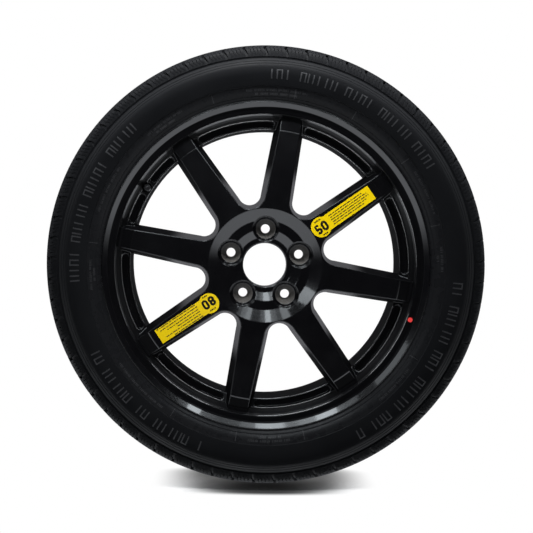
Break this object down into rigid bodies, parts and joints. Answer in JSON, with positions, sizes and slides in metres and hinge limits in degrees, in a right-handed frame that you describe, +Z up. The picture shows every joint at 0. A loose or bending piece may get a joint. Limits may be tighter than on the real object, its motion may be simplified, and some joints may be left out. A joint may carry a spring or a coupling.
{
  "type": "space saver spare wheel",
  "caption": "Narrow cast alloy spare wheel with straight spokes, a fitted temporary tyre, a snap-in valve and yellow speed labels, bolted to a car's hub.",
  "frame": {"origin": "centre of the wheel, on its spin axis and halfway across the rim and the tyre", "axes": "+Y along the spin axis, towards the car; -Y is the outer face; +Z up with the wheel standing in its working position"},
  "size_m": [0.7528, 0.175, 0.7528],
  "materials": {
    "wheel": "cast alloy under gloss black paint",
    "tyre": "matt black moulded rubber",
    "valve_body": "satin black rubber",
    "valve_stem": "turned",
    "valve_core": "turned",
    "valve_pin": "drawn",
    "valve_cap": "gloss black",
    "speed_label_upper": "yellow film",
    "speed_label_lower": "yellow film",
    "balance_dot": "red paint"
  },
  "bodies": {
    "wheel": {"wheel": "wheel", "tyre": "tyre", "valve_body": "valve_body", "valve_stem": "valve_stem", "valve_core": "valve_core", "speed_label_upper": "speed_label_upper", "speed_label_lower": "speed_label_lower", "balance_dot": "balance_dot"},
    "valve_pin": {"valve_pin": "valve_pin"},
    "valve_cap": {"valve_cap": "valve_cap"}
  },
  "joints": [
    {"name": "valve_cap_pull", "type": "slide", "parent": "wheel", "child": "valve_cap", "axis": [0.1742, -0.9781, -0.1135], "range_m": [0, 0.014]},
    {"name": "valve_pin_press", "type": "slide", "parent": "wheel", "child": "valve_pin", "axis": [-0.1742, 0.9781, 0.1135], "range_m": [0, 0.001], "stiffness_N_per_m": 400}
  ]
}
